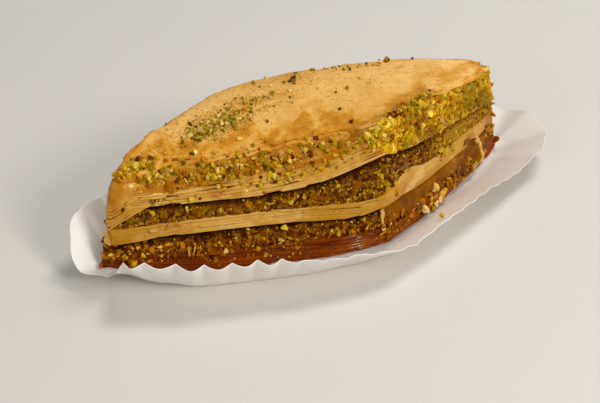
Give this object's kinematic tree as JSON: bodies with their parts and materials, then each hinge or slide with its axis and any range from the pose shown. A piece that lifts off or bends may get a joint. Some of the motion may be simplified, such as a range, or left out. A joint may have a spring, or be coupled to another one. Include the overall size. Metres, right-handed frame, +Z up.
{
  "type": "baklava piece",
  "caption": "Diamond-cut slice of layered baklava: thin pastry sheets with chopped-nut fillings between them, crumbs on top, lying in an opened fluted paper case.",
  "frame": {"origin": "on the table, under the middle of the whole piece's box", "axes": "+Z up; +X along the front cut side, from the long left tip towards the right; +Y from the front cut side towards the back"},
  "size_m": [0.1372, 0.074, 0.0373],
  "materials": {
    "bottom_pastry": "satin",
    "lower_filling": "satin",
    "middle_pastry": "satin",
    "upper_filling": "satin",
    "top_pastry": "matte",
    "paper_case": "matte"
  },
  "bodies": {
    "root": {"bottom_pastry": "bottom_pastry", "lower_filling": "lower_filling", "middle_pastry": "middle_pastry", "upper_filling": "upper_filling", "top_pastry": "top_pastry", "paper_case": "paper_case"}
  },
  "joints": []
}
